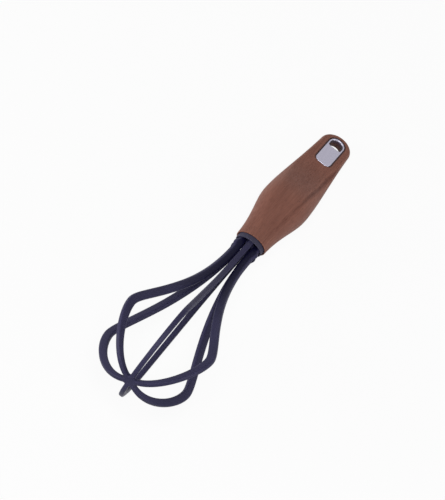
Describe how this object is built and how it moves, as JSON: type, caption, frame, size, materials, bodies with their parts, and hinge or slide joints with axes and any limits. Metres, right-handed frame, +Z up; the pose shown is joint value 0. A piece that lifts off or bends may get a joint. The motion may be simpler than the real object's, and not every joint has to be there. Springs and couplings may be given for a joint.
{
  "type": "whisk",
  "caption": "Kitchen whisk with a round cage of moulded nylon tines that flattens to an oval neck, an oval socket collar, a flat-fronted wooden handle and a steel inlay round the hanging hole.",
  "frame": {"origin": "on the table, midway along the whisk and midway across it, as the whisk lies on its rearmost tine and the back of its handle's end", "axes": "+X along the whisk from the tip of the cage to the hanging end, +Z up, away from the table and on the side of the handle's flat front and steel plate"},
  "size_m": [0.293, 0.0674, 0.0764],
  "materials": {
    "tine_nylon": "satin",
    "collar_nylon": "satin",
    "handle_wood": "oiled",
    "plate_steel": "brushed"
  },
  "bodies": {
    "root": {"tine_cage": "tine_nylon", "root_collar": "collar_nylon", "root_wedge": "tine_nylon", "handle": "handle_wood", "hang_plate": "plate_steel"}
  },
  "joints": []
}
